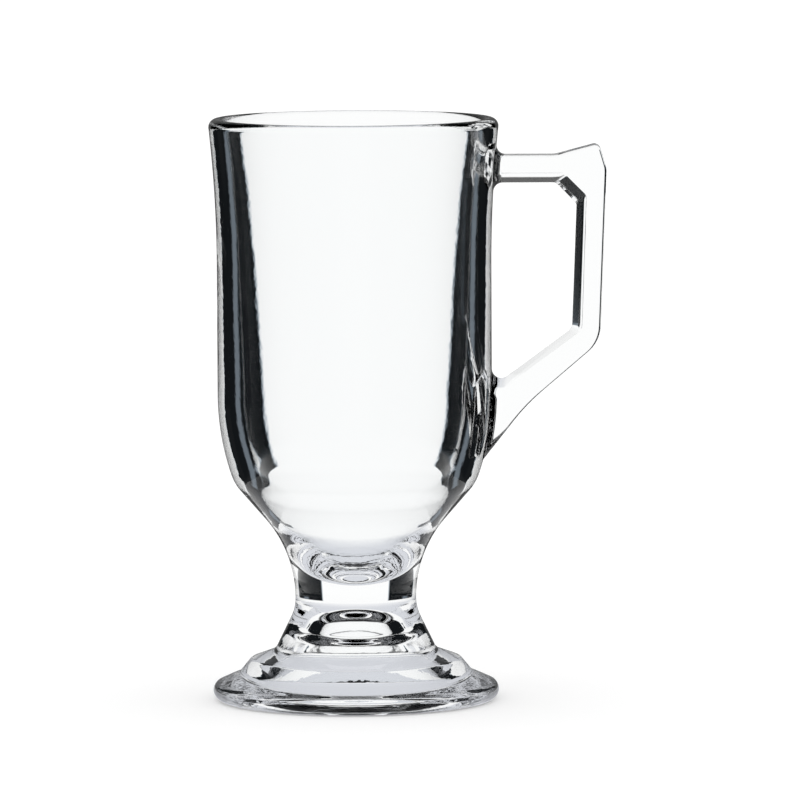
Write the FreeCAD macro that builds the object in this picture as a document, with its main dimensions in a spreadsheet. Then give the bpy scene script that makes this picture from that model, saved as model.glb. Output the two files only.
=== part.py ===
import FreeCAD, Part
import math
import os

import Sketcher
from FreeCAD import Vector

# A footed glass mug for hot drinks. Millimetres, +Z up, the origin on the bowl's axis at the surface that
# the mug stands on, the handle towards +X. Heights are above that surface unless a name says otherwise.
SIZES = {
    # the bowl's outside
    "mug_height": 147.0,
    "wall_radius": 34.6,
    "rim_spread": 1.9,  # how far the lip stands out from the straight wall
    "lip_radius": 2.1,
    "flare_length": 37.0,  # the flared stretch, measured down from the rim
    "upper_shoulder_radius": 64.0,
    "upper_shoulder_turn": 18.4,
    "lower_shoulder_radius": 12.0,
    "cone_draft": 41.0,
    "bowl_neck_curve": 31.0,
    # the bowl's inside
    "wall_thickness": 5.2,  # at the foot of the flare
    "bore_draft": 2.0,
    "bore_shoulder_radius": 55.5,
    "bore_cone_draft": 38.3,
    "bore_floor_radius": 12.0,
    "bore_floor_height": 30.0,
    # the neck, which bowl, stem and foot share
    "neck_radius": 15.25,
    "neck_height": 25.7,
    "bowl_seam_rise": 2.3,  # the bowl starts this far above the neck's waist
    "foot_seam_drop": 2.3,  # and the foot ends this far below it
    # the foot's outside
    "foot_radius": 36.15,
    "foot_neck_curve": 11.0,
    "foot_cone_draft": 26.0,
    "cone_toe_radius": 3.2,
    "shelf_slope": 20.0,
    "shelf_edge_radius": 1.8,
    "shelf_inset": 0.45694,  # the shelf's edge, in from the rim, as a share of the foot's overhang
    "shelf_height": 10.35,
    "riser_slope": 50.0,
    "riser_toe_radius": 3.0,
    "brim_slope": 24.0,
    "brim_edge_radius": 2.4,
    # the hollow under the foot: a dome and its side, a narrow ledge, and a flank down to the mouth
    "hollow_roof": 0.7,  # the glass left between the dome and the foot's seam
    "hollow_dome_radius": 9.4,
    "hollow_draft": 26.0,
    "hollow_side_length": 1.8,
    "hollow_ledge_in_radius": 1.8,  # where the side turns out onto the ledge
    "hollow_ledge_slope": 18.0,
    "hollow_ledge_length": 1.1,
    "hollow_ledge_out_radius": 3.8,  # and where the ledge turns down onto the flank
    "hollow_mouth_edge": 2.4,
    "hollow_mouth_inset": 10.05,  # the hollow's mouth, in from the foot's rim
    # the handle's outline: reaches are measured out from the straight wall
    "handle_thickness": 10.0,
    "handle_edge_radius": 1.6,
    "root_depth": 3.0,  # how far the drawn outline runs into the wall before it is trimmed
    "root_fillet": 2.4,
    "handle_drop": 9.4,  # the top edge, below the rim
    "ramp_reach": 16.1,
    "ramp_blend": 5.0,
    "thumb_reach": 27.1,
    "thumb_drop": 6.5,
    "thumb_blend": 1.6,
    "knuckle_reach": 29.0,
    "knuckle_drop": 12.7,
    "knuckle_blend": 6.0,
    "heel_reach": 27.3,
    "heel_rise": 13.2,  # above the shoulder, where the straight wall starts to draw in
    "heel_blend": 9.0,
    "arm_bend_reach": 8.9,
    "arm_bend_rise": -2.4,
    "arm_blend": 55.0,
    "arm_foot_slope": 51.6,
    # the finger window at the handle's mid-plane, and its bevel out to each side face
    "window_drop": 16.5,
    "window_corner_reach": 16.1,
    "window_grip_reach": 21.4,
    "window_grip_drop": 21.9,
    "window_heel_reach": 20.2,
    "window_heel_rise": 16.3,
    "window_arm_slope": 36.3,
    "window_corner_blend": 1.2,
    "window_heel_blend": 3.0,
    "bevel_top": 2.4,
    "bevel_corner": 2.6,
    "bevel_grip": 2.5,
    "bevel_arm": 1.6,
    "bevel_edge_radius": 0.5,
}

BOWL_SEAM = "sizes.neck_height + sizes.bowl_seam_rise"
FOOT_SEAM = "sizes.neck_height - sizes.foot_seam_drop"
HOLLOW_TOP = f"{FOOT_SEAM} - sizes.hollow_roof"
HOLLOW_MOUTH = "sizes.foot_radius - sizes.hollow_mouth_inset"
FLARE_START = "sizes.mug_height - sizes.flare_length"
BORE_RADIUS = "sizes.wall_radius - sizes.wall_thickness"
LIP_CENTRE_RADIUS = "sizes.wall_radius + sizes.rim_spread - sizes.lip_radius"
LIP_CENTRE_HEIGHT = "sizes.mug_height - sizes.lip_radius"
# The width that is left for the bowl's cone between the round stretches above and below it.
CONE_WIDTH = (
    "(sizes.wall_radius - sizes.neck_radius - sizes.bowl_neck_curve * (1 - cos(sizes.cone_draft))"
    " - sizes.lower_shoulder_radius * (cos(sizes.upper_shoulder_turn) - cos(sizes.cone_draft))"
    " - sizes.upper_shoulder_radius * (1 - cos(sizes.upper_shoulder_turn)))"
)
# Where the straight wall starts to draw in.
SHOULDER = (
    "(sizes.neck_height + sizes.bowl_neck_curve * sin(sizes.cone_draft)"
    f" + {CONE_WIDTH} / tan(sizes.cone_draft)"
    " + sizes.lower_shoulder_radius * (sin(sizes.cone_draft) - sin(sizes.upper_shoulder_turn))"
    " + sizes.upper_shoulder_radius * sin(sizes.upper_shoulder_turn))"
)
LOWER_SHOULDER_CENTRE = (
    f"{SHOULDER} - (sizes.upper_shoulder_radius - sizes.lower_shoulder_radius)"
    " * sin(sizes.upper_shoulder_turn)"
)

doc = FreeCAD.newDocument("mug")
sheet = doc.addObject("Spreadsheet::Sheet", "sizes")


def fill_sheet():
    for row, (name, size) in enumerate(SIZES.items(), start=1):
        sheet.set(f"A{row}", name)
        sheet.set(f"B{row}", str(size))
        sheet.setAlias(f"B{row}", name)
    doc.recompute()


def value(expression):
    return float(sheet.evalExpression(expression))


def sine(degrees):
    return math.sin(math.radians(degrees))


def cosine(degrees):
    return math.cos(math.radians(degrees))


def direction(degrees):
    return Vector(cosine(degrees), sine(degrees), 0)


def origin_plane(body, role):
    return next(feature for feature in body.Origin.OriginFeatures if feature.Role == role)


class Outline:
    """A closed loop in an upright sketch, x outwards and y up, whose legs each start where the last ended.

    Legs are drawn with a heading in degrees, so the loop is nearly right before it is constrained."""

    def __init__(self, body, name, plane, x, y):
        self.sketch = body.newObject("Sketcher::SketchObject", name)
        self.sketch.AttachmentSupport = [(origin_plane(body, plane), "")]
        self.sketch.MapMode = "FlatFace"
        self.here = Vector(x, y, 0)
        self.heading = 0.0
        self.ends = []

    def tie(self, before, after, smooth):
        kind = "Tangent" if smooth else "Coincident"
        _, last = self.ends[before]
        first, _ = self.ends[after]
        self.sketch.addConstraint(Sketcher.Constraint(kind, before, last, after, first))

    def add(self, shape, ends, smooth):
        leg = self.sketch.addGeometry(shape, False)
        self.ends.append(ends)
        if leg:
            self.tie(leg - 1, leg, smooth)
        return leg

    def line(self, length, heading=None):
        """A straight leg, which starts at a corner if it has a heading and otherwise runs on smoothly."""
        smooth = heading is None
        if not smooth:
            self.heading = heading
        start, self.here = self.here, self.here + length * direction(self.heading)
        return self.add(Part.LineSegment(start, self.here), (1, 2), smooth)

    def arc(self, radius, turn, heading=None):
        """A round leg that turns left by so many degrees, or right where turn is negative."""
        smooth = heading is None
        if not smooth:
            self.heading = heading
        side = math.copysign(90, turn)
        centre = self.here + radius * direction(self.heading + side)
        first = math.radians(self.heading - side)
        last = first + math.radians(turn)
        self.heading += turn
        self.here = centre + radius * direction(self.heading - side)
        circle = Part.Circle(centre, Vector(0, 0, 1), radius)
        if turn > 0:
            return self.add(Part.ArcOfCircle(circle, first, last), (1, 2), smooth)
        return self.add(Part.ArcOfCircle(circle, last, first), (2, 1), smooth)

    def close(self, smooth=False):
        self.tie(len(self.ends) - 1, 0, smooth)

    def bind(self, constraint, expression):
        index = self.sketch.addConstraint(constraint)
        self.sketch.setExpression(f"Constraints[{index}]", expression)

    def point(self, leg, place):
        return 3 if place == "centre" else self.ends[leg][place == "end"]

    def set_x(self, leg, place, expression):
        point = self.point(leg, place)
        self.bind(Sketcher.Constraint("DistanceX", -1, 1, leg, point, value(expression)), expression)

    def set_y(self, leg, place, expression):
        point = self.point(leg, place)
        self.bind(Sketcher.Constraint("DistanceY", -1, 1, leg, point, value(expression)), expression)

    def set_radius(self, leg, expression):
        self.bind(Sketcher.Constraint("Radius", leg, value(expression)), expression)

    def set_length(self, leg, expression):
        self.bind(Sketcher.Constraint("Distance", leg, value(expression)), expression)

    def set_heading(self, leg, expression):
        angle = math.radians(value(expression))
        self.bind(Sketcher.Constraint("Angle", leg, angle), expression)

    def on_axis(self, leg, place):
        self.sketch.addConstraint(Sketcher.Constraint("PointOnObject", leg, self.point(leg, place), -2))

    def level(self, leg):
        self.sketch.addConstraint(Sketcher.Constraint("Horizontal", leg))

    def upright(self, leg):
        self.sketch.addConstraint(Sketcher.Constraint("Vertical", leg))

    def meet_at(self, legs, x, y):
        """Makes the straight legs, run on, pass through one corner."""
        corner = self.sketch.addGeometry(Part.Point(Vector(value(x), value(y), 0)), True)
        self.ends.append((1, 1))
        for leg in legs:
            self.sketch.addConstraint(Sketcher.Constraint("PointOnObject", corner, 1, leg))
        self.bind(Sketcher.Constraint("DistanceX", -1, 1, corner, 1, value(x)), x)
        self.bind(Sketcher.Constraint("DistanceY", -1, 1, corner, 1, value(y)), y)


def bearing(a, b):
    return math.degrees(math.atan2(b.y - a.y, b.x - a.x))


def spin(body, name, outline):
    revolution = body.newObject("PartDesign::Revolution", name)
    revolution.Profile = outline.sketch
    revolution.ReferenceAxis = (outline.sketch, ["V_Axis"])
    revolution.Angle = 360.0
    return revolution


def flare_radius(foot, lip, lip_radius, lean, outside):
    """The radius of the curve that leaves the wall at foot, leaning so far out, and runs onto the lip."""
    side = 1 if outside else -1
    away = foot - lip
    reach = away.dot(direction(-lean))
    return (lip_radius**2 - away.dot(away)) / (2 * (reach - side * lip_radius))


def lip_centre():
    return Vector(value(LIP_CENTRE_RADIUS), value(LIP_CENTRE_HEIGHT), 0)


def draw_outside(outline):
    """The bowl's outer side from its seam up to the lip. Returns how far the flare leans out at the lip."""
    neck_curve = value("sizes.bowl_neck_curve")
    cone = value("sizes.cone_draft")
    turn = value("sizes.upper_shoulder_turn")
    seam_lean = math.degrees(math.asin(value("sizes.bowl_seam_rise") / neck_curve))
    flare_foot = Vector(value("sizes.wall_radius"), value(FLARE_START), 0)
    flare = flare_radius(flare_foot, lip_centre(), value("sizes.lip_radius"), 0, True)
    rim_lean = -bearing(lip_centre(), flare_foot + Vector(flare, 0, 0))

    seam = outline.line(value("sizes.neck_radius") + neck_curve * (1 - cosine(seam_lean)), 0)
    neck = outline.arc(neck_curve, seam_lean - cone, 90 - seam_lean)
    outline.line(value(CONE_WIDTH) / sine(cone))
    lower_shoulder = outline.arc(value("sizes.lower_shoulder_radius"), cone - turn)
    upper_shoulder = outline.arc(value("sizes.upper_shoulder_radius"), turn)
    straight = outline.line(flare_foot.y - value(SHOULDER))
    outline.arc(flare, -rim_lean)

    outline.on_axis(seam, "start")
    outline.set_y(seam, "start", BOWL_SEAM)
    outline.level(seam)
    outline.set_radius(neck, "sizes.bowl_neck_curve")
    outline.set_x(neck, "centre", "sizes.neck_radius + sizes.bowl_neck_curve")
    outline.set_y(neck, "centre", "sizes.neck_height")
    outline.set_radius(lower_shoulder, "sizes.lower_shoulder_radius")
    outline.set_y(lower_shoulder, "centre", LOWER_SHOULDER_CENTRE)
    outline.set_radius(upper_shoulder, "sizes.upper_shoulder_radius")
    outline.set_y(upper_shoulder, "end", SHOULDER)
    outline.upright(straight)
    outline.set_x(straight, "end", "sizes.wall_radius")
    outline.set_y(straight, "end", FLARE_START)
    return rim_lean


def draw_lip(outline, turn):
    lip = outline.arc(value("sizes.lip_radius"), turn)
    outline.set_radius(lip, "sizes.lip_radius")
    outline.set_x(lip, "centre", LIP_CENTRE_RADIUS)
    outline.set_y(lip, "centre", LIP_CENTRE_HEIGHT)
    return lip


def draw_inside(outline, flare, bore_lean):
    """The bowl's inner side from the lip down to its floor on the axis."""
    draft = value("sizes.bore_draft")
    cone = value("sizes.bore_cone_draft")
    shoulder_radius = value("sizes.bore_shoulder_radius")
    floor_radius = value("sizes.bore_floor_radius")
    rounds_width = floor_radius * cosine(cone) + shoulder_radius * (cosine(draft) - cosine(cone))
    rounds_height = floor_radius * (1 - sine(cone)) + shoulder_radius * (sine(cone) - sine(draft))
    bore_depth = value(f"{FLARE_START} - sizes.bore_floor_height")
    lean = math.tan(math.radians(draft))
    cone_length = (value(BORE_RADIUS) - rounds_width - lean * (bore_depth - rounds_height)) / (
        sine(cone) - lean * cosine(cone)
    )
    wall_height = bore_depth - rounds_height - cone_length * cosine(cone)

    outline.arc(flare, bore_lean - draft)
    wall = outline.line(wall_height / cosine(draft))
    shoulder = outline.arc(shoulder_radius, draft - cone)
    side = outline.line(cone_length)
    floor = outline.arc(floor_radius, cone - 90)
    axis = outline.line(value(f"sizes.bore_floor_height - ({BOWL_SEAM})"), 270)
    outline.close()

    outline.set_heading(wall, "-90 - sizes.bore_draft")
    outline.set_x(wall, "start", BORE_RADIUS)
    outline.set_y(wall, "start", FLARE_START)
    outline.set_radius(shoulder, "sizes.bore_shoulder_radius")
    outline.set_heading(side, "-90 - sizes.bore_cone_draft")
    outline.set_radius(floor, "sizes.bore_floor_radius")
    outline.on_axis(floor, "centre")
    outline.on_axis(axis, "start")
    outline.set_y(axis, "start", "sizes.bore_floor_height")


def make_bowl():
    body = doc.addObject("PartDesign::Body", "bowl")
    outline = Outline(body, "bowl_section", "YZ_Plane", 0, value(BOWL_SEAM))
    rim_lean = draw_outside(outline)
    draft = value("sizes.bore_draft")
    bore_foot = Vector(value(BORE_RADIUS), value(FLARE_START), 0)
    flare = flare_radius(bore_foot, lip_centre(), value("sizes.lip_radius"), draft, False)
    bore_lean = -bearing(lip_centre(), bore_foot + flare * direction(-draft))
    draw_lip(outline, 180 + rim_lean - bore_lean)
    draw_inside(outline, flare, bore_lean)
    spin(body, "bowl_spin", outline)
    return body


def make_envelope():
    """The bowl as if it were solid glass up to the rim, which trims the handle's roots."""
    body = doc.addObject("PartDesign::Body", "envelope")
    outline = Outline(body, "envelope_section", "YZ_Plane", 0, value(BOWL_SEAM))
    rim_lean = draw_outside(outline)
    draw_lip(outline, 90 + rim_lean)
    top = outline.line(value(LIP_CENTRE_RADIUS))
    axis = outline.line(value(f"sizes.mug_height - ({BOWL_SEAM})"), 270)
    outline.close()
    outline.level(top)
    outline.on_axis(axis, "start")
    spin(body, "envelope_spin", outline)
    return body


def make_stem():
    """The solid neck: its waist is where the bowl's curve and the foot's curve meet."""
    body = doc.addObject("PartDesign::Body", "stem")
    below = value("sizes.foot_neck_curve")
    above = value("sizes.bowl_neck_curve")
    lean_below = math.degrees(math.asin(value("sizes.foot_seam_drop") / below))
    lean_above = math.degrees(math.asin(value("sizes.bowl_seam_rise") / above))
    neck = value("sizes.neck_radius")
    outline = Outline(body, "stem_section", "YZ_Plane", 0, value(FOOT_SEAM))
    bottom = outline.line(neck + below * (1 - cosine(lean_below)), 0)
    lower = outline.arc(below, -lean_below, 90 + lean_below)
    upper = outline.arc(above, -lean_above)
    top = outline.line(neck + above * (1 - cosine(lean_above)), 180)
    outline.line(value(f"{BOWL_SEAM} - ({FOOT_SEAM})"), 270)
    outline.close()
    outline.on_axis(bottom, "start")
    outline.set_y(bottom, "start", FOOT_SEAM)
    outline.level(bottom)
    outline.set_radius(lower, "sizes.foot_neck_curve")
    outline.set_y(lower, "centre", "sizes.neck_height")
    outline.set_x(lower, "end", "sizes.neck_radius")
    outline.set_y(lower, "end", "sizes.neck_height")
    outline.set_radius(upper, "sizes.bowl_neck_curve")
    outline.level(top)
    outline.on_axis(top, "end")
    outline.set_y(top, "end", BOWL_SEAM)
    spin(body, "stem_spin", outline)
    return body


def corner_of(point_a, heading_a, point_b, heading_b):
    """Where two straight lines cross, each given by a point and a heading."""
    along = direction(heading_a)
    across = direction(heading_b + 90)
    return point_a + along * ((point_b - point_a).dot(across) / along.dot(across))


def draw_foot_top(outline):
    """From the ring that the foot stands on, round the brim, over the step and up the cone to the seam."""
    shelf, riser = 180 - value("sizes.shelf_slope"), 180 - value("sizes.riser_slope")
    brim, cone = 180 - value("sizes.brim_slope"), 90 + value("sizes.foot_cone_draft")
    edge, neck_curve = value("sizes.brim_edge_radius"), value("sizes.foot_neck_curve")
    radii = [value(f"sizes.{name}_radius") for name in ("riser_toe", "shelf_edge", "cone_toe")]
    step_radius = "sizes.foot_radius - sizes.shelf_inset * (sizes.foot_radius - sizes.neck_radius)"
    step = Vector(value(step_radius), value("sizes.shelf_height"), 0)
    neck = Vector(value("sizes.neck_radius") + neck_curve, value("sizes.neck_height"), 0)
    edge_centre = Vector(value("sizes.foot_radius - sizes.brim_edge_radius"), edge, 0)
    brim_start = edge_centre + edge * direction(brim - 90)
    cone_end = neck - neck_curve * direction(cone - 90)
    toe = corner_of(brim_start, brim, step, riser)
    crook = corner_of(step, shelf, cone_end, cone)
    toe_cut, edge_cut, crook_cut = (
        radius * math.tan(math.radians(abs(turn) / 2))
        for radius, turn in zip(radii, (brim - riser, shelf - riser, shelf - cone))
    )
    seam_lean = math.degrees(math.asin(value("sizes.foot_seam_drop") / neck_curve))

    rim = outline.arc(edge, brim)
    brim_leg = outline.line((toe - brim_start).Length - toe_cut)
    riser_toe = outline.arc(radii[0], riser - brim)
    riser_leg = outline.line((step - toe).Length - toe_cut - edge_cut)
    shelf_edge = outline.arc(radii[1], shelf - riser)
    shelf_leg = outline.line((crook - step).Length - edge_cut - crook_cut)
    cone_toe = outline.arc(radii[2], cone - shelf)
    cone_leg = outline.line((cone_end - crook).Length - crook_cut)
    neck_leg = outline.arc(neck_curve, seam_lean - value("sizes.foot_cone_draft"))
    seam = outline.line(outline.here.x, 180)

    outline.set_radius(rim, "sizes.brim_edge_radius")
    outline.set_x(rim, "centre", "sizes.foot_radius - sizes.brim_edge_radius")
    outline.set_heading(brim_leg, "180 - sizes.brim_slope")
    outline.set_radius(riser_toe, "sizes.riser_toe_radius")
    outline.set_heading(riser_leg, "180 - sizes.riser_slope")
    outline.set_radius(shelf_edge, "sizes.shelf_edge_radius")
    outline.set_heading(shelf_leg, "180 - sizes.shelf_slope")
    outline.set_radius(cone_toe, "sizes.cone_toe_radius")
    outline.set_heading(cone_leg, "90 + sizes.foot_cone_draft")
    outline.set_radius(neck_leg, "sizes.foot_neck_curve")
    outline.set_x(neck_leg, "centre", "sizes.neck_radius + sizes.foot_neck_curve")
    outline.set_y(neck_leg, "centre", "sizes.neck_height")
    outline.level(seam)
    outline.on_axis(seam, "end")
    outline.set_y(seam, "end", FOOT_SEAM)
    return (riser_leg, shelf_leg), step_radius


def ledge_corner():
    """The centre of the curve that turns the hollow's ledge down onto its flank."""
    draft, slope = value("sizes.hollow_draft"), value("sizes.hollow_ledge_slope")
    dome = value("sizes.hollow_dome_radius")
    turn_in = value("sizes.hollow_ledge_in_radius")
    turn_out = value("sizes.hollow_ledge_out_radius")
    return (
        Vector(0, value(HOLLOW_TOP) - dome, 0)
        + (dome + turn_in) * direction(draft)
        + value("sizes.hollow_side_length") * direction(draft - 90)
        - (turn_in + turn_out) * direction(90 - slope)
        + value("sizes.hollow_ledge_length") * direction(-slope)
    )


def make_foot():
    body = doc.addObject("PartDesign::Body", "foot")
    draft = value("sizes.hollow_draft")
    ledge_slope = value("sizes.hollow_ledge_slope")
    turn_out = value("sizes.hollow_ledge_out_radius")
    mouth_edge = value("sizes.hollow_mouth_edge")
    mouth = Vector(value(HOLLOW_MOUTH), 0, 0)
    corner = ledge_corner()
    reach = (mouth - corner).Length
    slope = math.degrees(math.asin(turn_out / reach)) - bearing(corner, mouth)
    mouth_cut = mouth_edge * math.tan(math.radians(slope / 2))
    ring_start = mouth.x + mouth_cut

    outline = Outline(body, "foot_section", "YZ_Plane", ring_start, 0)
    ring = outline.line(value("sizes.foot_radius - sizes.brim_edge_radius") - ring_start, 0)
    step_legs, step_radius = draw_foot_top(outline)
    outline.line(value("sizes.hollow_roof"), 270)
    roof = outline.arc(value("sizes.hollow_dome_radius"), draft - 90, 0)
    side = outline.line(value("sizes.hollow_side_length"))
    ledge_in = outline.arc(value("sizes.hollow_ledge_in_radius"), 90 - draft - ledge_slope)
    ledge = outline.line(value("sizes.hollow_ledge_length"))
    ledge_out = outline.arc(turn_out, ledge_slope - slope)
    flank = outline.line(math.sqrt(reach**2 - turn_out**2) - mouth_cut)
    lip = outline.arc(mouth_edge, slope)
    outline.close(smooth=True)

    outline.level(ring)
    outline.set_y(ring, "start", "0")
    outline.on_axis(roof, "start")
    outline.on_axis(roof, "centre")
    outline.set_y(roof, "start", HOLLOW_TOP)
    outline.set_radius(roof, "sizes.hollow_dome_radius")
    outline.set_heading(side, "sizes.hollow_draft - 90")
    outline.set_length(side, "sizes.hollow_side_length")
    outline.set_radius(ledge_in, "sizes.hollow_ledge_in_radius")
    outline.set_heading(ledge, "-sizes.hollow_ledge_slope")
    outline.set_length(ledge, "sizes.hollow_ledge_length")
    outline.set_radius(ledge_out, "sizes.hollow_ledge_out_radius")
    outline.set_radius(lip, "sizes.hollow_mouth_edge")
    outline.meet_at(step_legs, step_radius, "sizes.shelf_height")
    outline.meet_at([flank], HOLLOW_MOUTH, "0")
    spin(body, "foot_spin", outline)
    return body


def draw_polygon(outline, corners):
    """Straight legs from corner to corner, each corner (x, y, blend radius or None); the first is sharp."""
    points = [Vector(value(x), value(y), 0) for x, y, _ in corners]
    headings = [bearing(a, b) for a, b in zip(points, points[1:] + points[:1])]
    turns = [(after - before + 180) % 360 - 180 for before, after in zip([0] + headings, headings)]
    cuts = [
        value(blend) * math.tan(math.radians(abs(turn) / 2)) if blend else 0.0
        for (_, _, blend), turn in zip(corners, turns)
    ]
    legs, blends = [], []
    count = len(corners)
    for i in range(count):
        length = (points[(i + 1) % count] - points[i]).Length - cuts[i] - cuts[(i + 1) % count]
        legs.append(outline.line(length, None if cuts[i] else headings[i]))
        if i + 1 < count and cuts[i + 1]:
            blends.append((i + 1, outline.arc(value(corners[i + 1][2]), turns[i + 1])))
    outline.close()
    for i, (x, y, blend) in enumerate(corners):
        if not blend:
            outline.set_x(legs[i], "start", x)
            outline.set_y(legs[i], "start", y)
    for i, arc in blends:
        outline.set_radius(arc, corners[i][2])
        outline.meet_at((legs[i - 1], legs[i]), *corners[i][:2])


def out(reach):
    return f"sizes.wall_radius + ({reach})"


def under_rim(drop):
    return f"sizes.mug_height - ({drop})"


def over_shoulder(rise):
    return f"{SHOULDER} + ({rise})"


def handle_corners():
    inner = out("-sizes.root_depth")
    foot_drop = "(sizes.arm_bend_reach + sizes.root_depth) * tan(sizes.arm_foot_slope)"
    return [
        (inner, over_shoulder(f"sizes.arm_bend_rise - {foot_drop}"), None),
        (out("sizes.arm_bend_reach"), over_shoulder("sizes.arm_bend_rise"), "sizes.arm_blend"),
        (out("sizes.heel_reach"), over_shoulder("sizes.heel_rise"), "sizes.heel_blend"),
        (out("sizes.knuckle_reach"), under_rim("sizes.knuckle_drop"), "sizes.knuckle_blend"),
        (out("sizes.thumb_reach"), under_rim("sizes.thumb_drop"), "sizes.thumb_blend"),
        (out("sizes.ramp_reach"), under_rim("sizes.handle_drop"), "sizes.ramp_blend"),
        (inner, under_rim("sizes.handle_drop"), None),
    ]


def window_corners(bevel):
    """The finger window's outline: bevel is "0" at the mid-plane and "1" out at a side face."""
    inner = out("-sizes.root_depth")
    heel = out(f"sizes.window_heel_reach + {bevel} * sizes.bevel_grip")
    slope = "tan(sizes.window_arm_slope)"
    arm_rise = (
        f"sizes.window_heel_rise + {bevel} * (sizes.bevel_grip * {slope}"
        " - sizes.bevel_arm / cos(sizes.window_arm_slope))"
    )
    arm_width = f"(sizes.window_heel_reach + {bevel} * sizes.bevel_grip + sizes.root_depth)"
    top = under_rim(f"sizes.window_drop - {bevel} * sizes.bevel_top")
    corner_blend = f"sizes.window_corner_blend + {bevel} * sizes.bevel_edge_radius"
    heel_blend = f"sizes.window_heel_blend + {bevel} * sizes.bevel_edge_radius"
    return [
        (inner, over_shoulder(f"{arm_rise} - {arm_width} * {slope}"), None),
        (heel, over_shoulder(arm_rise), heel_blend),
        (
            out(f"sizes.window_grip_reach + {bevel} * sizes.bevel_grip"),
            under_rim(f"sizes.window_grip_drop - {bevel} * sizes.bevel_corner"),
            corner_blend,
        ),
        (out(f"sizes.window_corner_reach + {bevel} * sizes.bevel_corner"), top, corner_blend),
        (inner, top, None),
    ]


def draw_loop(body, name, corners):
    x, y, _ = corners[0]
    outline = Outline(body, name, "XZ_Plane", value(x), value(y))
    draw_polygon(outline, corners)
    return outline.sketch


def is_upright(face):
    """Whether a face of the handle stands square to the mid-plane."""
    u_first, u_last, v_first, v_last = face.ParameterRange
    return abs(face.normalAt((u_first + u_last) / 2, (v_first + v_last) / 2).y) < 1e-6


def middle(edge):
    return edge.valueAt((edge.FirstParameter + edge.LastParameter) / 2)


def sort_edges(shape):
    """The handle's long outer edges, and those round its finger window, as the names of edges."""
    half = value("sizes.handle_thickness") / 2
    root = value(out("-sizes.root_depth")) + 0.01
    outer, window = [], []
    for number, edge in enumerate(shape.Edges, start=1):
        ends = [vertex.Point for vertex in edge.Vertexes]
        centre = middle(edge)
        flat = max(abs(end.y - ends[0].y) for end in ends) < 1e-6
        if not flat or max(point.x for point in (*ends, centre)) < root:
            continue
        faces = shape.ancestorsOfType(edge, Part.Face)
        if abs(abs(centre.y) - half) < 1e-6 and sum(is_upright(face) for face in faces) == 1:
            outer.append(f"Edge{number}")
        elif not any(is_upright(face) for face in faces):
            window.append(f"Edge{number}")
    return outer, window


def round_edges(body, name, base, edges, radius):
    fillet = body.newObject("PartDesign::Fillet", name)
    fillet.Base = (base, edges)
    fillet.setExpression("Radius", radius)
    doc.recompute()
    return fillet


def make_handle_blank():
    """The flat handle with its bevelled window, before its roots are trimmed to the bowl."""
    body = doc.addObject("PartDesign::Body", "handle_blank")
    pad = body.newObject("PartDesign::Pad", "handle_pad")
    pad.Profile = draw_loop(body, "handle_side", handle_corners())
    pad.Midplane = True
    pad.setExpression("Length", "sizes.handle_thickness")
    for name, sign in (("near", ""), ("far", "-")):
        middle_loop = draw_loop(body, f"window_middle_{name}", window_corners("0"))
        side_loop = draw_loop(body, f"window_{name}", window_corners("1"))
        side_loop.setExpression("AttachmentOffset.Base.z", f"{sign}sizes.handle_thickness / 2")
        loft = body.newObject("PartDesign::SubtractiveLoft", f"window_loft_{name}")
        loft.Profile = middle_loop
        loft.Sections = [side_loop]
        loft.Ruled = True
        doc.recompute()
    outer, _ = sort_edges(loft.Shape)
    rounded = round_edges(body, "outer_rounding", loft, outer, "sizes.handle_edge_radius")
    _, window = sort_edges(rounded.Shape)
    round_edges(body, "window_rounding", rounded, window, "sizes.bevel_edge_radius")
    return body


def root_edges(shape, envelope):
    """The edges where the handle runs into the bowl, as (number, radius, radius)."""
    half = value("sizes.handle_thickness") / 2 + 0.01
    radius = value("sizes.root_fillet")
    found = []
    for number, edge in enumerate(shape.Edges, start=1):
        first, last = edge.FirstParameter, edge.LastParameter
        points = [edge.valueAt(first + (last - first) * k / 4) for k in range(5)]
        by_handle = all(abs(point.y) < half and point.x > 0 for point in points)
        if by_handle and all(envelope.distToShape(Part.Vertex(point))[0] < 1e-4 for point in points):
            found.append((number, radius, radius))
    return found


def make_handle():
    envelope = make_envelope()
    blank = make_handle_blank()
    joined = doc.addObject("Part::Fuse", "handle_on_envelope")
    joined.Base = envelope
    joined.Tool = blank
    doc.recompute()
    rooted = doc.addObject("Part::Fillet", "root_blend")
    rooted.Base = joined
    rooted.Edges = root_edges(joined.Shape, envelope.Shape.Shells[0])
    doc.recompute()
    handle = doc.addObject("Part::Cut", "handle")
    handle.Base = rooted
    handle.Tool = envelope
    return handle


def check_document():
    doc.recompute()
    for item in doc.Objects:
        if {"Invalid", "Error"} & set(item.State):
            raise RuntimeError(f"{item.Name} did not build: {item.State}")
        if item.isDerivedFrom("Sketcher::SketchObject") and not item.FullyConstrained:
            raise RuntimeError(f"{item.Name} is not fully constrained")


def write_parts(parts):
    for part in parts:
        shape = part.Shape
        if shape.isNull() or not shape.isValid() or len(shape.Solids) != 1:
            raise RuntimeError(f"{part.Label} is not one valid solid")
    os.makedirs("parts", exist_ok=True)
    for part in parts:
        part.Shape.exportStep(f"parts/{part.Label}.step")
        box = part.Shape.optimalBoundingBox(False)
        extents = f"{box.XLength:.2f} x {box.YLength:.2f} x {box.ZLength:.2f} mm"
        print(part.Label, extents, round(part.Shape.Volume), "mm3")


fill_sheet()
parts = [make_bowl(), make_stem(), make_foot(), make_handle()]
check_document()
write_parts(parts)
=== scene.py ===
import math

import bmesh
import bpy
from mathutils import Matrix, Vector
from mathutils.bvhtree import BVHTree


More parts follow.
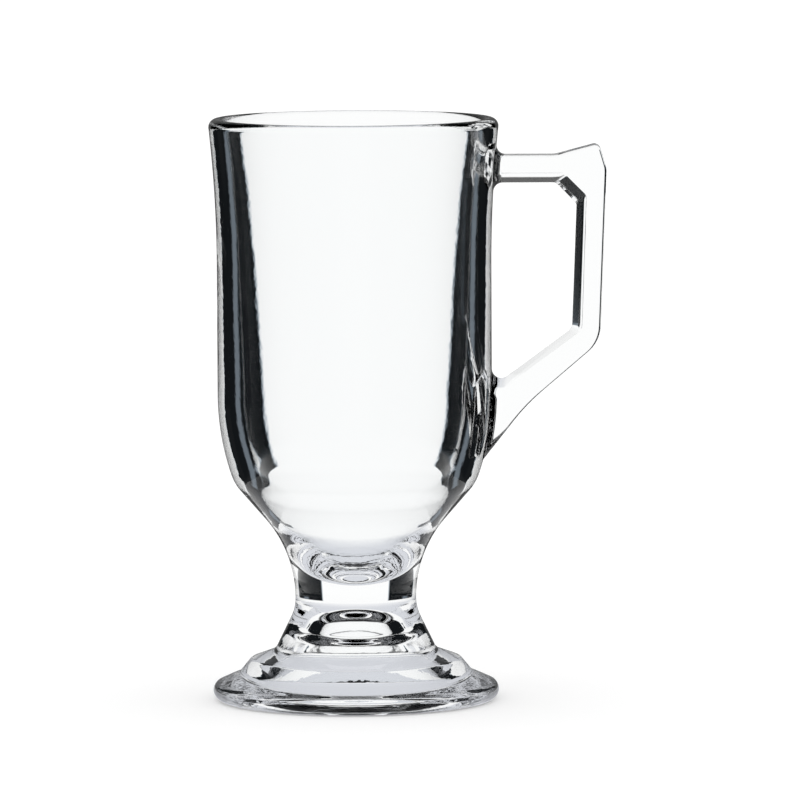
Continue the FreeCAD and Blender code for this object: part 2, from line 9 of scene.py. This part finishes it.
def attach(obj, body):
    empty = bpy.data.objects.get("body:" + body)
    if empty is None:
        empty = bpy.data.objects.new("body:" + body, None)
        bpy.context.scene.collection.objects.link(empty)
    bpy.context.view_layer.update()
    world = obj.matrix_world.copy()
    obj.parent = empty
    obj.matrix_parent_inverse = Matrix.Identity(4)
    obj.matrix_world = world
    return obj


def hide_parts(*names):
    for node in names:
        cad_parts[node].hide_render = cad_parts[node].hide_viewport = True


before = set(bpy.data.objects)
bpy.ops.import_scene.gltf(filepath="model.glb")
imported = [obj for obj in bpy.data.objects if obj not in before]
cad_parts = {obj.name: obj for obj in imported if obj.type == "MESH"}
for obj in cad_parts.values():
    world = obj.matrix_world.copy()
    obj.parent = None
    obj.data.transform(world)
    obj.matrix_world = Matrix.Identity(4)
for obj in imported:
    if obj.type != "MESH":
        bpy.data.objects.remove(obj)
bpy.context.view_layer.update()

MM = 0.001
TURNED_MERGE, HANDLE_MERGE = 1e-7, 1e-6  # metres; corners nearer than this become one
ROUND_STEPS = 192  # facets once round the mug
WALL_STEPS = 40  # facets up the bowl's straight wall
SHARP_FOLD = 35.0  # degrees; an edge that folds by less is shaded smooth

# The bowl, in millimetres and degrees.
MUG_HEIGHT = 147.0
WALL_RADIUS = 34.6
RIM_SPREAD = 1.9
LIP_RADIUS = 2.1
FLARE_START = 110.0
UPPER_SHOULDER_RADIUS, UPPER_SHOULDER_TURN = 64.0, 18.4
LOWER_SHOULDER_RADIUS = 12.0
CONE_DRAFT = 41.0
BOWL_NECK_CURVE = 31.0
BORE_RADIUS, BORE_DRAFT = 29.4, 2.0
BORE_SHOULDER_RADIUS = 55.5
BORE_CONE_DRAFT = 38.3
BORE_FLOOR_RADIUS, BORE_FLOOR_HEIGHT = 12.0, 30.0

# The neck, and the two heights where bowl, stem and foot run into each other.
NECK_RADIUS, NECK_HEIGHT = 15.25, 25.7
BOWL_SEAM, FOOT_SEAM = 28.0, 23.4
SEAM_SLACK = 0.001  # a face is on a seam when all its corners are this near its height

# The foot and the hollow under it.
FOOT_RADIUS = 36.15
FOOT_NECK_CURVE = 11.0
FOOT_CONE_DRAFT = 26.0
CONE_TOE_RADIUS = 3.2
SHELF_SLOPE, SHELF_EDGE_RADIUS = 20.0, 1.8
SHELF_EDGE = Vector((26.6, 10.35))
RISER_SLOPE, RISER_TOE_RADIUS = 50.0, 3.0
BRIM_SLOPE, BRIM_EDGE_RADIUS = 24.0, 2.4
HOLLOW_TOP, HOLLOW_DOME_RADIUS = 22.7, 9.4
HOLLOW_DRAFT, HOLLOW_SIDE_LENGTH = 26.0, 1.8
LEDGE_IN_RADIUS, LEDGE_OUT_RADIUS = 1.8, 3.8
LEDGE_SLOPE, LEDGE_LENGTH = 18.0, 1.1
HOLLOW_MOUTH, HOLLOW_MOUTH_EDGE = 26.1, 2.4

# The handle's two roots, which lie on the bowl's wall.
ROOT_GAP = 0.03 * MM  # root and wall touch where they are nearer than this
ROOT_FACING = -0.5  # a root's faces look into the wall at least this squarely
ROOT_SHRINK = 0.9995  # draws the roots a hair's breadth inside the wall
ROOT_CUTS = 6  # cuts through a facet of the wall where a root's outline crosses it

# The glass, with the sizes and depths of the waves in it, in millimetres.
GLASS_TINT = (0.985, 0.992, 0.992)
GLASS_BENDING = 1.52  # index of refraction
GLASS_SHINE = 0.12  # how strongly its surface mirrors the room
MOULD_WAVES = [(22.0, 0.012), (3.0, 0.0015)]
PLUNGER_WAVES = [(9.0, 0.03), (1.6, 0.008)]
HANDLE_WAVES = [(12.0, 0.01), (2.5, 0.0015)]
FLOOR_CHILL = 1.5  # how much deeper the plunger's small waves get towards the bowl's floor
CHILL_START, CHILL_FULL = 50 * MM, 36 * MM  # the heights between which they deepen


def sine(degrees):
    return math.sin(math.radians(degrees))


def cosine(degrees):
    return math.cos(math.radians(degrees))


def tangent(degrees):
    return math.tan(math.radians(degrees))


def heading_vector(degrees):
    return Vector((cosine(degrees), sine(degrees)))


def neck_lean(height, curve):
    """How far the neck leans from upright at that height, in degrees, on its curve of that radius."""
    return math.degrees(math.asin(abs(height - NECK_HEIGHT) / curve))


def crossing(point_a, heading_a, point_b, heading_b):
    """Where two straight lines of a section meet."""
    along, across = heading_vector(heading_a), heading_vector(heading_b + 90)
    return point_a + along * ((point_b - point_a).dot(across) / along.dot(across))


class Section:
    """Half of a turned piece's section, drawn leg by leg from a point on the axis.

    x is outwards and y up, in millimetres."""

    GUARD = 0.15  # the short first and last facet of a straight leg, which keep its shading straight
    LONGEST = 1.2  # the longest facet of a round leg
    WIDEST = 5.0  # the most that a round leg turns in one facet, in degrees

    def __init__(self, height):
        self.mesh = bmesh.new()
        self.tip = self.mesh.verts.new((0, 0, height * MM))
        self.heading = 0.0

    @property
    def here(self):
        return Vector((self.tip.co.x, self.tip.co.z)) / MM

    def step(self, length):
        self.tip = bmesh.ops.extrude_vert_indiv(self.mesh, verts=[self.tip])["verts"][0]
        across, up = heading_vector(self.heading) * length * MM
        bmesh.ops.translate(self.mesh, verts=[self.tip], vec=(across, 0, up))

    def line(self, length, heading=None, steps=1):
        if heading is not None:
            self.heading = heading
        guard = min(self.GUARD, length / 4)
        for part in (guard, *[(length - 2 * guard) / steps] * steps, guard):
            self.step(part)

    def line_to(self, x, heading):
        self.line((x - self.here.x) / cosine(heading), heading)

    def arc(self, radius, turn, heading=None):
        """A round leg that turns left by so many degrees, or right where turn is negative."""
        if heading is not None:
            self.heading = heading
        centre = self.here + radius * heading_vector(self.heading + math.copysign(90, turn))
        length = radius * math.radians(abs(turn))
        steps = math.ceil(max(abs(turn) / self.WIDEST, length / self.LONGEST, 2))
        made = bmesh.ops.spin(
            self.mesh,
            geom=[self.tip],
            cent=(centre.x * MM, 0, centre.y * MM),
            axis=(0, -1, 0),
            dvec=(0, 0, 0),
            angle=math.radians(turn),
            steps=steps,
            use_duplicate=False,
        )
        self.tip = made["geom_last"][0]
        self.heading += turn

    def turned(self):
        """The solid that the section makes when it goes once round the axis."""
        mesh = self.mesh
        self.tip.co.x = 0
        bmesh.ops.spin(
            mesh,
            geom=mesh.verts[:] + mesh.edges[:],
            cent=(0, 0, 0),
            axis=(0, 0, 1),
            dvec=(0, 0, 0),
            angle=2 * math.pi,
            steps=ROUND_STEPS,
            use_merge=True,
            use_duplicate=False,
        )
        bmesh.ops.remove_doubles(mesh, verts=mesh.verts, dist=TURNED_MERGE)
        bmesh.ops.recalc_face_normals(mesh, faces=mesh.faces)
        return mesh


def flare(foot, lip, lean, side):
    """The radius of the curve from the wall at foot onto the lip's round, and how far it leans there.

    lean is how far it leans out at foot, and side is 1 outside the wall and -1 inside."""
    away, sideways = foot - lip, heading_vector(-lean)
    radius = (LIP_RADIUS**2 - away.dot(away)) / (2 * (away.dot(sideways) - side * LIP_RADIUS))
    centre = foot + radius * sideways
    return radius, -math.degrees(math.atan2(centre.y - lip.y, centre.x - lip.x))


def bowl_mesh():
    lip = Vector((WALL_RADIUS + RIM_SPREAD - LIP_RADIUS, MUG_HEIGHT - LIP_RADIUS))
    outer_flare, rim_lean = flare(Vector((WALL_RADIUS, FLARE_START)), lip, 0, 1)
    inner_flare, bore_lean = flare(Vector((BORE_RADIUS, FLARE_START)), lip, BORE_DRAFT, -1)
    seam_lean = neck_lean(BOWL_SEAM, BOWL_NECK_CURVE)
    cone_width = (
        WALL_RADIUS
        - NECK_RADIUS
        - BOWL_NECK_CURVE * (1 - cosine(CONE_DRAFT))
        - LOWER_SHOULDER_RADIUS * (cosine(UPPER_SHOULDER_TURN) - cosine(CONE_DRAFT))
        - UPPER_SHOULDER_RADIUS * (1 - cosine(UPPER_SHOULDER_TURN))
    )
    section = Section(BOWL_SEAM)
    section.line(NECK_RADIUS + BOWL_NECK_CURVE * (1 - cosine(seam_lean)), 0)
    section.arc(BOWL_NECK_CURVE, seam_lean - CONE_DRAFT, 90 - seam_lean)
    section.line(cone_width / sine(CONE_DRAFT))
    section.arc(LOWER_SHOULDER_RADIUS, CONE_DRAFT - UPPER_SHOULDER_TURN)
    section.arc(UPPER_SHOULDER_RADIUS, UPPER_SHOULDER_TURN)
    section.line(FLARE_START - section.here.y, steps=WALL_STEPS)
    section.arc(outer_flare, -rim_lean)
    section.arc(LIP_RADIUS, 180 + rim_lean - bore_lean)
    section.arc(inner_flare, bore_lean - BORE_DRAFT)

    rounds_width = BORE_FLOOR_RADIUS * cosine(BORE_CONE_DRAFT) + BORE_SHOULDER_RADIUS * (
        cosine(BORE_DRAFT) - cosine(BORE_CONE_DRAFT)
    )
    rounds_height = BORE_FLOOR_RADIUS * (1 - sine(BORE_CONE_DRAFT)) + BORE_SHOULDER_RADIUS * (
        sine(BORE_CONE_DRAFT) - sine(BORE_DRAFT)
    )
    straight_height = FLARE_START - BORE_FLOOR_HEIGHT - rounds_height
    side = (BORE_RADIUS - rounds_width - tangent(BORE_DRAFT) * straight_height) / (
        sine(BORE_CONE_DRAFT) - tangent(BORE_DRAFT) * cosine(BORE_CONE_DRAFT)
    )
    section.line((straight_height - side * cosine(BORE_CONE_DRAFT)) / cosine(BORE_DRAFT))
    section.arc(BORE_SHOULDER_RADIUS, BORE_DRAFT - BORE_CONE_DRAFT)
    section.line(side)
    section.arc(BORE_FLOOR_RADIUS, BORE_CONE_DRAFT - 90)
    return section.turned()


def stem_mesh():
    below = neck_lean(FOOT_SEAM, FOOT_NECK_CURVE)
    above = neck_lean(BOWL_SEAM, BOWL_NECK_CURVE)
    section = Section(FOOT_SEAM)
    section.line(NECK_RADIUS + FOOT_NECK_CURVE * (1 - cosine(below)), 0)
    section.arc(FOOT_NECK_CURVE, -below, 90 + below)
    section.arc(BOWL_NECK_CURVE, -above)
    section.line(section.here.x, 180)
    return section.turned()


def foot_mesh():
    section = Section(HOLLOW_TOP)
    section.arc(HOLLOW_DOME_RADIUS, HOLLOW_DRAFT - 90, 0)
    section.line(HOLLOW_SIDE_LENGTH)
    section.arc(LEDGE_IN_RADIUS, 90 - HOLLOW_DRAFT - LEDGE_SLOPE)
    section.line(LEDGE_LENGTH)
    ledge_side = LEDGE_OUT_RADIUS * heading_vector(90 - LEDGE_SLOPE)
    to_mouth = Vector((HOLLOW_MOUTH, 0)) - section.here + ledge_side
    lead = math.asin(LEDGE_OUT_RADIUS / to_mouth.length)
    slope = math.degrees(lead - math.atan2(to_mouth.y, to_mouth.x))
    section.arc(LEDGE_OUT_RADIUS, LEDGE_SLOPE - slope)
    section.line(to_mouth.length * math.cos(lead) - HOLLOW_MOUTH_EDGE * tangent(slope / 2))
    section.arc(HOLLOW_MOUTH_EDGE, slope)
    section.line_to(FOOT_RADIUS - BRIM_EDGE_RADIUS, 0)

    brim, riser = 180 - BRIM_SLOPE, 180 - RISER_SLOPE
    shelf, cone = 180 - SHELF_SLOPE, 90 + FOOT_CONE_DRAFT
    neck = Vector((NECK_RADIUS + FOOT_NECK_CURVE, NECK_HEIGHT))
    cone_end = neck - FOOT_NECK_CURVE * heading_vector(cone - 90)
    section.arc(BRIM_EDGE_RADIUS, brim)
    toe = crossing(section.here, brim, SHELF_EDGE, riser)
    crook = crossing(SHELF_EDGE, shelf, cone_end, cone)
    toe_cut = RISER_TOE_RADIUS * tangent((brim - riser) / 2)
    edge_cut = SHELF_EDGE_RADIUS * tangent((shelf - riser) / 2)
    crook_cut = CONE_TOE_RADIUS * tangent((shelf - cone) / 2)
    section.line((toe - section.here).length - toe_cut)
    section.arc(RISER_TOE_RADIUS, riser - brim)
    section.line((SHELF_EDGE - toe).length - toe_cut - edge_cut)
    section.arc(SHELF_EDGE_RADIUS, shelf - riser)
    section.line((crook - SHELF_EDGE).length - edge_cut - crook_cut)
    section.arc(CONE_TOE_RADIUS, cone - shelf)
    section.line((cone_end - crook).length - crook_cut)
    section.arc(FOOT_NECK_CURVE, neck_lean(FOOT_SEAM, FOOT_NECK_CURVE) - FOOT_CONE_DRAFT)
    section.line(section.here.x, 180)
    return section.turned()


class Signal:
    """One output of a node, so that arithmetic on it reads as arithmetic."""

    def __init__(self, nodes, socket):
        self.nodes, self.socket = nodes, socket

    def math(self, operation, *values):
        inputs = dict(enumerate(values))
        return self.nodes.add("ShaderNodeMath", {"operation": operation}, inputs)[0]

    def __add__(self, other):
        return self.math("ADD", self, other)

    def __sub__(self, other):
        return self.math("SUBTRACT", self, other)

    def __rsub__(self, other):
        return self.math("SUBTRACT", other, self)

    def __mul__(self, other):
        return self.math("MULTIPLY", self, other)

    def __truediv__(self, other):
        return self.math("DIVIDE", self, other)

    __radd__, __rmul__ = __add__, __mul__

    def size(self):
        return self.math("ABSOLUTE", self)

    def least(self, other):
        return self.math("MINIMUM", self, other)

    def most(self, other):
        return self.math("MAXIMUM", self, other)

    def under(self, limit):
        """1 below limit, and 0 from there on."""
        return self.math("LESS_THAN", self, limit)

    def rise(self, start, full):
        """0 up to start, 1 from full on, and smooth between, whichever of the two is higher."""
        low, high = min(start, full), max(start, full)
        return self.nodes.add(
            "ShaderNodeMapRange",
            {"interpolation_type": "SMOOTHSTEP", "clamp": True},
            {0: self, 1: low, 2: high, 3: float(start > full), 4: float(start < full)},
        )[0]


class Nodes:
    """A material's or the world's nodes, with one way to add any of them."""

    def __init__(self, tree):
        self.tree = tree
        tree.nodes.clear()

    def add(self, kind, settings=None, values=None):
        node = self.tree.nodes.new(kind)
        for name, value in (settings or {}).items():
            setattr(node, name, value)
        for name, value in (values or {}).items():
            if isinstance(value, Signal):
                self.tree.links.new(value.socket, node.inputs[name])
            else:
                node.inputs[name].default_value = value
        return {
            key: Signal(self, socket)
            for index, socket in enumerate(node.outputs)
            for key in (index, socket.name)
        }


def new_material(name):
    material = bpy.data.materials.new(name)
    material.use_nodes = True
    return material, Nodes(material.node_tree)


def clear_glass(name, waves, floor_chill=0.0):
    """Pressed glass: clear, with the faint waves that a mould leaves in it.

    floor_chill deepens the waves after the first towards the bowl's floor."""
    material, nodes = new_material(name)
    place = nodes.add("ShaderNodeTexCoord")["Object"]
    height = nodes.add("ShaderNodeSeparateXYZ", None, {0: place})["Z"]
    low = 1 + floor_chill * height.rise(CHILL_START, CHILL_FULL)
    relief = None
    for size, depth in waves:
        wave = nodes.add(
            "ShaderNodeTexNoise", None, {"Vector": place, "Scale": 1 / (size * MM), "Detail": 1.0}
        )["Fac"]
        wave = wave * (depth * MM)
        relief = wave if relief is None else relief + wave * low
    normal = nodes.add(
        "ShaderNodeBump", None, {"Height": relief, "Strength": 1.0, "Distance": 1.0}
    )["Normal"]
    shader = nodes.add(
        "ShaderNodeBsdfPrincipled",
        None,
        {
            "Base Color": (*GLASS_TINT, 1),
            "Roughness": 0.0,
            "IOR": GLASS_BENDING,
            "Transmission Weight": 1.0,
            "Specular Tint": (GLASS_SHINE, GLASS_SHINE, GLASS_SHINE, 1),
            "Normal": normal,
        },
    )["BSDF"]
    nodes.add("ShaderNodeOutputMaterial", None, {"Surface": shader})
    return material


def joined_glass():
    """Where two members run into each other there is no surface: light passes straight through."""
    material, nodes = new_material("joined_glass")
    shader = nodes.add("ShaderNodeBsdfTransparent")["BSDF"]
    nodes.add("ShaderNodeOutputMaterial", None, {"Surface": shader})
    return material


OUTER = clear_glass("mould_side_glass", MOULD_WAVES)
INNER = clear_glass("plunger_side_glass", PLUNGER_WAVES, FLOOR_CHILL)
HANDLE = clear_glass("handle_glass", HANDLE_WAVES)
JOINED = joined_glass()


def handle_mesh(bowl):
    """The flat side handle, and the faces of its two roots that lie on the bowl."""
    mesh = bmesh.new()
    mesh.from_mesh(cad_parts["handle"].data)
    bmesh.ops.remove_doubles(mesh, verts=mesh.verts, dist=HANDLE_MERGE)
    bmesh.ops.recalc_face_normals(mesh, faces=mesh.faces)
    wall = BVHTree.FromBMesh(bowl)
    roots = []
    for face in mesh.faces:
        _, normal, _, _ = wall.find_nearest(face.calc_center_median(), ROOT_GAP)
        if normal and normal.dot(face.normal) < ROOT_FACING:
            roots.append(face)
    # Just inside the wall, so that light meets root and wall in the same order everywhere.
    sunk = list({vert for face in roots for vert in face.verts})
    bmesh.ops.scale(mesh, verts=sunk, vec=(ROOT_SHRINK, ROOT_SHRINK, 1))
    return mesh, roots


def touching(mesh, faces):
    """A test of whether a place lies on those faces of the mesh, as it is now."""
    mesh.verts.index_update()
    corners = [vert.co.copy() for vert in mesh.verts]
    outlines = [[vert.index for vert in face.verts] for face in faces]
    surface = BVHTree.FromPolygons(corners, outlines)

    def touches(place):
        return surface.find_nearest(place, 2 * ROOT_GAP)[0] is not None

    return touches


def divide_round_roots(bowl, is_rooted):
    """Gives the wall small facets where a root's outline crosses it, so that the joined area has that
    outline; each new corner goes back out onto the round."""
    crossed = [face for face in bowl.faces if len({is_rooted(vert.co) for vert in face.verts}) == 2]
    edges = list({edge for face in crossed for edge in face.edges})
    made = bmesh.ops.subdivide_edges(bowl, edges=edges, cuts=ROOT_CUTS, use_grid_fill=True)
    facet = 2 * math.pi / ROUND_STEPS
    for vert in made["geom_inner"]:
        if isinstance(vert, bmesh.types.BMVert):
            turn = math.atan2(vert.co.y, vert.co.x) / facet
            swell = math.cos((turn % 1 - 0.5) * facet) / math.cos(facet / 2)
            vert.co.x *= swell
            vert.co.y *= swell
    bowl.normal_update()


def finish_piece(name, mesh, materials, slot_of):
    """Makes the piece that stands for one node of the frame.

    slot_of gives a face's place in materials."""
    for face in mesh.faces:
        face.smooth = True
        face.material_index = slot_of(face)
    for edge in mesh.edges:
        edge.smooth = edge.calc_face_angle(0) < math.radians(SHARP_FOLD)
    data = bpy.data.meshes.new(name)
    mesh.to_mesh(data)
    mesh.free()
    for material in materials:
        data.materials.append(material)
    piece = bpy.data.objects.new(name, data)
    bpy.context.scene.collection.objects.link(piece)
    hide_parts(name.removeprefix("glass_"))
    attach(piece, "root")
    return piece


def turned_slots(seams, is_inner=lambda face, centre: False, is_rooted=lambda centre: False):
    """Slot 0 outside, 1 inside, and 2 where the glass runs on into the next member."""

    def slot_of(face):
        heights = [vert.co.z / MM for vert in face.verts]
        centre = face.calc_center_median()
        on_seam = any(max(abs(height - seam) for height in heights) < SEAM_SLACK for seam in seams)
        if on_seam or is_rooted(centre):
            return 2
        return 1 if is_inner(face, centre) else 0

    return slot_of


def faces_axis(face, centre):
    return face.normal.x * centre.x + face.normal.y * centre.y < 0


def faces_down(face, centre):
    return face.normal.z < 0 < centre.z


bowl = bowl_mesh()
handle, roots = handle_mesh(bowl)
is_rooted = touching(handle, roots)
divide_round_roots(bowl, is_rooted)
turned_glass = (OUTER, INNER, JOINED)
finish_piece("glass_bowl", bowl, turned_glass, turned_slots([BOWL_SEAM], faces_axis, is_rooted))
finish_piece("glass_stem", stem_mesh(), turned_glass, turned_slots([BOWL_SEAM, FOOT_SEAM]))
finish_piece("glass_foot", foot_mesh(), turned_glass, turned_slots([FOOT_SEAM], faces_down))
root_faces = set(roots)
grip = finish_piece("glass_handle", handle, (HANDLE, JOINED), lambda face: int(face in root_faces))
even = grip.modifiers.new("even_shading", "WEIGHTED_NORMAL")
even.keep_sharp = True


# The camera, in metres and degrees.
PHOTO_DISTANCE = 2.0
PHOTO_CAMERA_HEIGHT = 0.262
PHOTO_AIM = Vector((0.0114, 0, 0.0757))
PHOTO_ROLL = -0.27
PHOTO_FIELD = 0.201  # the width of the view at the mug
SENSOR_WIDTH = 36.0  # millimetres
NEAREST, FURTHEST = 0.1, 50.0

# The floor and the mat, in metres.
FLOOR_HALF_WIDTH, FLOOR_DEPTH = 6.0, 0.0002
FLOOR_PAPER = (0.8, 0.8, 0.8, 1)
FLOOR_GLOW = 0.3
MAT_RADIUS, MAT_DEPTH, MAT_CORNERS = 0.14, 0.0004, 96
# The painted shade in the middle of the mat, darker and bluish round the mug's foot.
MAT_PAINTED_SHADE = (0.7, 0.715, 0.76, 1)
# Where the painted shade starts to fade, and where the mat is plain white.
MAT_FADE_START, MAT_WHITE = 0.05, 0.125  # distances from the axis

WHITE = (1, 1, 1, 1)

# The part of the studio that only clear glass shows. It goes by a ray's direction, which has length 1:
# heights are the upward part of it, and widths its sideways part for each metre away. Of the two numbers
# in a bracket, the first is where something starts and the second where it is full.
LEAST_AHEAD = 0.001  # so that light from in front counts as coming from far aside
SOFT = 0.02  # half the width of a screen's soft edge
SCREEN_HALF_WIDTH, SCREEN_WIDENING = 0.25, 0.195
WIDENING_HEIGHTS = (-0.11, -0.05)
GAP_END = (2.1, 1.8)
GAP_BOTTOM = (-0.26, -0.225)
GAP_FADE = (-0.03, 0.0)  # going up, for light through both walls
WHITE_BELOW = (-0.36, -0.42)
DARK, CORNER_GREY = 0.009, 0.18
CORNER_WIDTHS = (0.8, 0.92)
CORNER_HEIGHTS = (-0.1, -0.13)
CORNER_BEHIND = (0.0, 0.1)  # how far behind the mug, as the ray's part away from the camera
BELOW_DARK_CEILING = (0.68, 0.47)
MIRRORED = 0.15  # how strongly the glass mirrors this pattern
DARK_TINT = (0.8, 0.95, 1.1, 1)


def make_world():
    world = bpy.data.worlds.new("studio")
    bpy.context.scene.world = world
    world.use_nodes = True
    nodes = Nodes(world.node_tree)
    path = nodes.add("ShaderNodeLightPath")
    direction = nodes.add("ShaderNodeTexCoord")["Generated"]
    axes = nodes.add("ShaderNodeSeparateXYZ", None, {0: direction})
    across, along, up = axes["X"].size(), axes["Y"].size(), axes["Z"]
    slope = across.least(along) / across.most(along)

    # Ray Depth is one more than the surfaces that the light has met. Straight on through one wall gives
    # 3 and through both 5; thrown back once inside a wall gives 4, and longer ways give 6 and up. An odd
    # count below 8 is taken as straight.
    count = path["Ray Depth"]
    straight = count.math("MODULO", count, 2.0) * count.under(8)
    one_wall, both_walls = count.under(4), 1 - count.under(5)

    # Straight light sees white, apart from one dark gap on each side of the screen behind the mug. Light
    # thrown back once sees that screen and the one in front. All light sees the white below.
    half_width = SCREEN_HALF_WIDTH + SCREEN_WIDENING * up.rise(*WIDENING_HEIGHTS).most(one_wall)
    aside = across / axes["Y"].most(LEAST_AHEAD)
    gap = (aside - half_width).rise(-SOFT, SOFT) * aside.rise(*GAP_END)
    gap = gap * up.rise(*GAP_BOTTOM) * (1 - up.rise(*GAP_FADE) * both_walls)
    sideways = (across - along).rise(-SOFT, SOFT)
    screens = (slope - half_width).rise(SOFT, -SOFT) * (1 - sideways) * count.under(5)
    pale = (straight * (1 - gap) + (1 - straight) * screens).most(up.rise(*WHITE_BELOW))

    # The dark is lighter in the two corners behind the mug.
    corners = CORNER_GREY * slope.rise(*CORNER_WIDTHS) * up.rise(*CORNER_HEIGHTS)
    corners = corners * axes["Y"].rise(*CORNER_BEHIND)
    pattern = (pale + (1 - pale) * (corners + DARK)) * up.rise(*BELOW_DARK_CEILING)

    # The camera and the matt floor see plain white.
    seen = path["Is Camera Ray"]
    through = path["Is Transmission Ray"]
    mirror = path["Is Glossy Ray"]
    other = (1 - seen) * (1 - through) * (1 - mirror)
    strength = seen + through * pattern + mirror * (1 - through) * pattern * MIRRORED + other
    shade = nodes.add(
        "ShaderNodeMix", {"data_type": "RGBA"}, {0: through * (1 - pale), 6: WHITE, 7: DARK_TINT}
    )[2]
    light = nodes.add("ShaderNodeBackground", None, {"Color": shade, "Strength": strength})[0]
    nodes.add("ShaderNodeOutputWorld", None, {"Surface": light})


def lay_floor(name, mesh, depth, material):
    """Puts a flat piece of the stage, which isn't part of the mug, just under it."""
    bmesh.ops.translate(mesh, verts=mesh.verts, vec=(0, 0, -depth))
    data = bpy.data.meshes.new(name)
    mesh.to_mesh(data)
    mesh.free()
    data.materials.append(material)
    floor = bpy.data.objects.new(name, data)
    bpy.context.scene.collection.objects.link(floor)
    return floor


def make_floor():
    """The pale floor, which the camera sees and which takes the shadow."""
    material, nodes = new_material("pale_floor")
    path = nodes.add("ShaderNodeLightPath")
    glow = path["Is Camera Ray"] * FLOOR_GLOW
    paper = nodes.add("ShaderNodeBsdfDiffuse", None, {"Color": FLOOR_PAPER})["BSDF"]
    light = nodes.add("ShaderNodeEmission", None, {"Color": WHITE, "Strength": glow})["Emission"]
    both = nodes.add("ShaderNodeAddShader", None, {0: paper, 1: light})[0]
    nodes.add("ShaderNodeOutputMaterial", None, {"Surface": both})

    mesh = bmesh.new()
    bmesh.ops.create_grid(mesh, x_segments=1, y_segments=1, size=FLOOR_HALF_WIDTH)
    floor = lay_floor("floor", mesh, FLOOR_DEPTH, material)
    floor.visible_transmission = False
    floor.visible_glossy = False


def make_mat():
    """The floor close round the mug, as clear glass shows it: a glowing disc with painted shade, darker
    and bluish towards the mug, which fades to white further out.
    """
    material, nodes = new_material("floor_near_painted_shade")
    place = nodes.add("ShaderNodeTexCoord")["Object"]
    distance = nodes.add("ShaderNodeVectorMath", {"operation": "LENGTH"}, {0: place})["Value"]
    # Painted shade: the glowing mat is darker and bluish near the mug and white further out.
    white = distance.rise(MAT_FADE_START, MAT_WHITE)
    shade = nodes.add("ShaderNodeMix", {"data_type": "RGBA"}, {0: white, 6: MAT_PAINTED_SHADE, 7: WHITE})[2]
    light = nodes.add("ShaderNodeEmission", None, {"Color": shade, "Strength": 1.0})["Emission"]
    nodes.add("ShaderNodeOutputMaterial", None, {"Surface": light})

    mesh = bmesh.new()
    bmesh.ops.create_circle(mesh, cap_ends=True, segments=MAT_CORNERS, radius=MAT_RADIUS)
    floor = lay_floor("floor_near", mesh, MAT_DEPTH, material)
    floor.visible_camera = False
    floor.visible_diffuse = False
    floor.visible_shadow = False


def make_camera():
    data = bpy.data.cameras.new("camera")
    data.sensor_width = SENSOR_WIDTH
    data.lens = SENSOR_WIDTH * PHOTO_DISTANCE / PHOTO_FIELD
    data.clip_start, data.clip_end = NEAREST, FURTHEST
    camera = bpy.data.objects.new("camera", data)
    bpy.context.scene.collection.objects.link(camera)
    place = Vector((PHOTO_AIM.x, -PHOTO_DISTANCE, PHOTO_CAMERA_HEIGHT))
    turn = (PHOTO_AIM - place).to_track_quat("-Z", "Y").to_matrix().to_4x4()
    roll = Matrix.Rotation(math.radians(PHOTO_ROLL), 4, "Z")
    camera.matrix_world = Matrix.Translation(place) @ turn @ roll
    bpy.context.scene.camera = camera


make_world()
make_floor()
make_mat()
make_camera()

# Light goes on through many surfaces in solid glass before it comes out.
MOST_SURFACES, MOST_MIRRORINGS = 40, 24
scene = bpy.context.scene
scene.view_settings.view_transform = "Standard"
scene.cycles.max_bounces = MOST_SURFACES
scene.cycles.transmission_bounces = MOST_SURFACES
scene.cycles.glossy_bounces = MOST_MIRRORINGS
scene.cycles.transparent_max_bounces = MOST_SURFACES
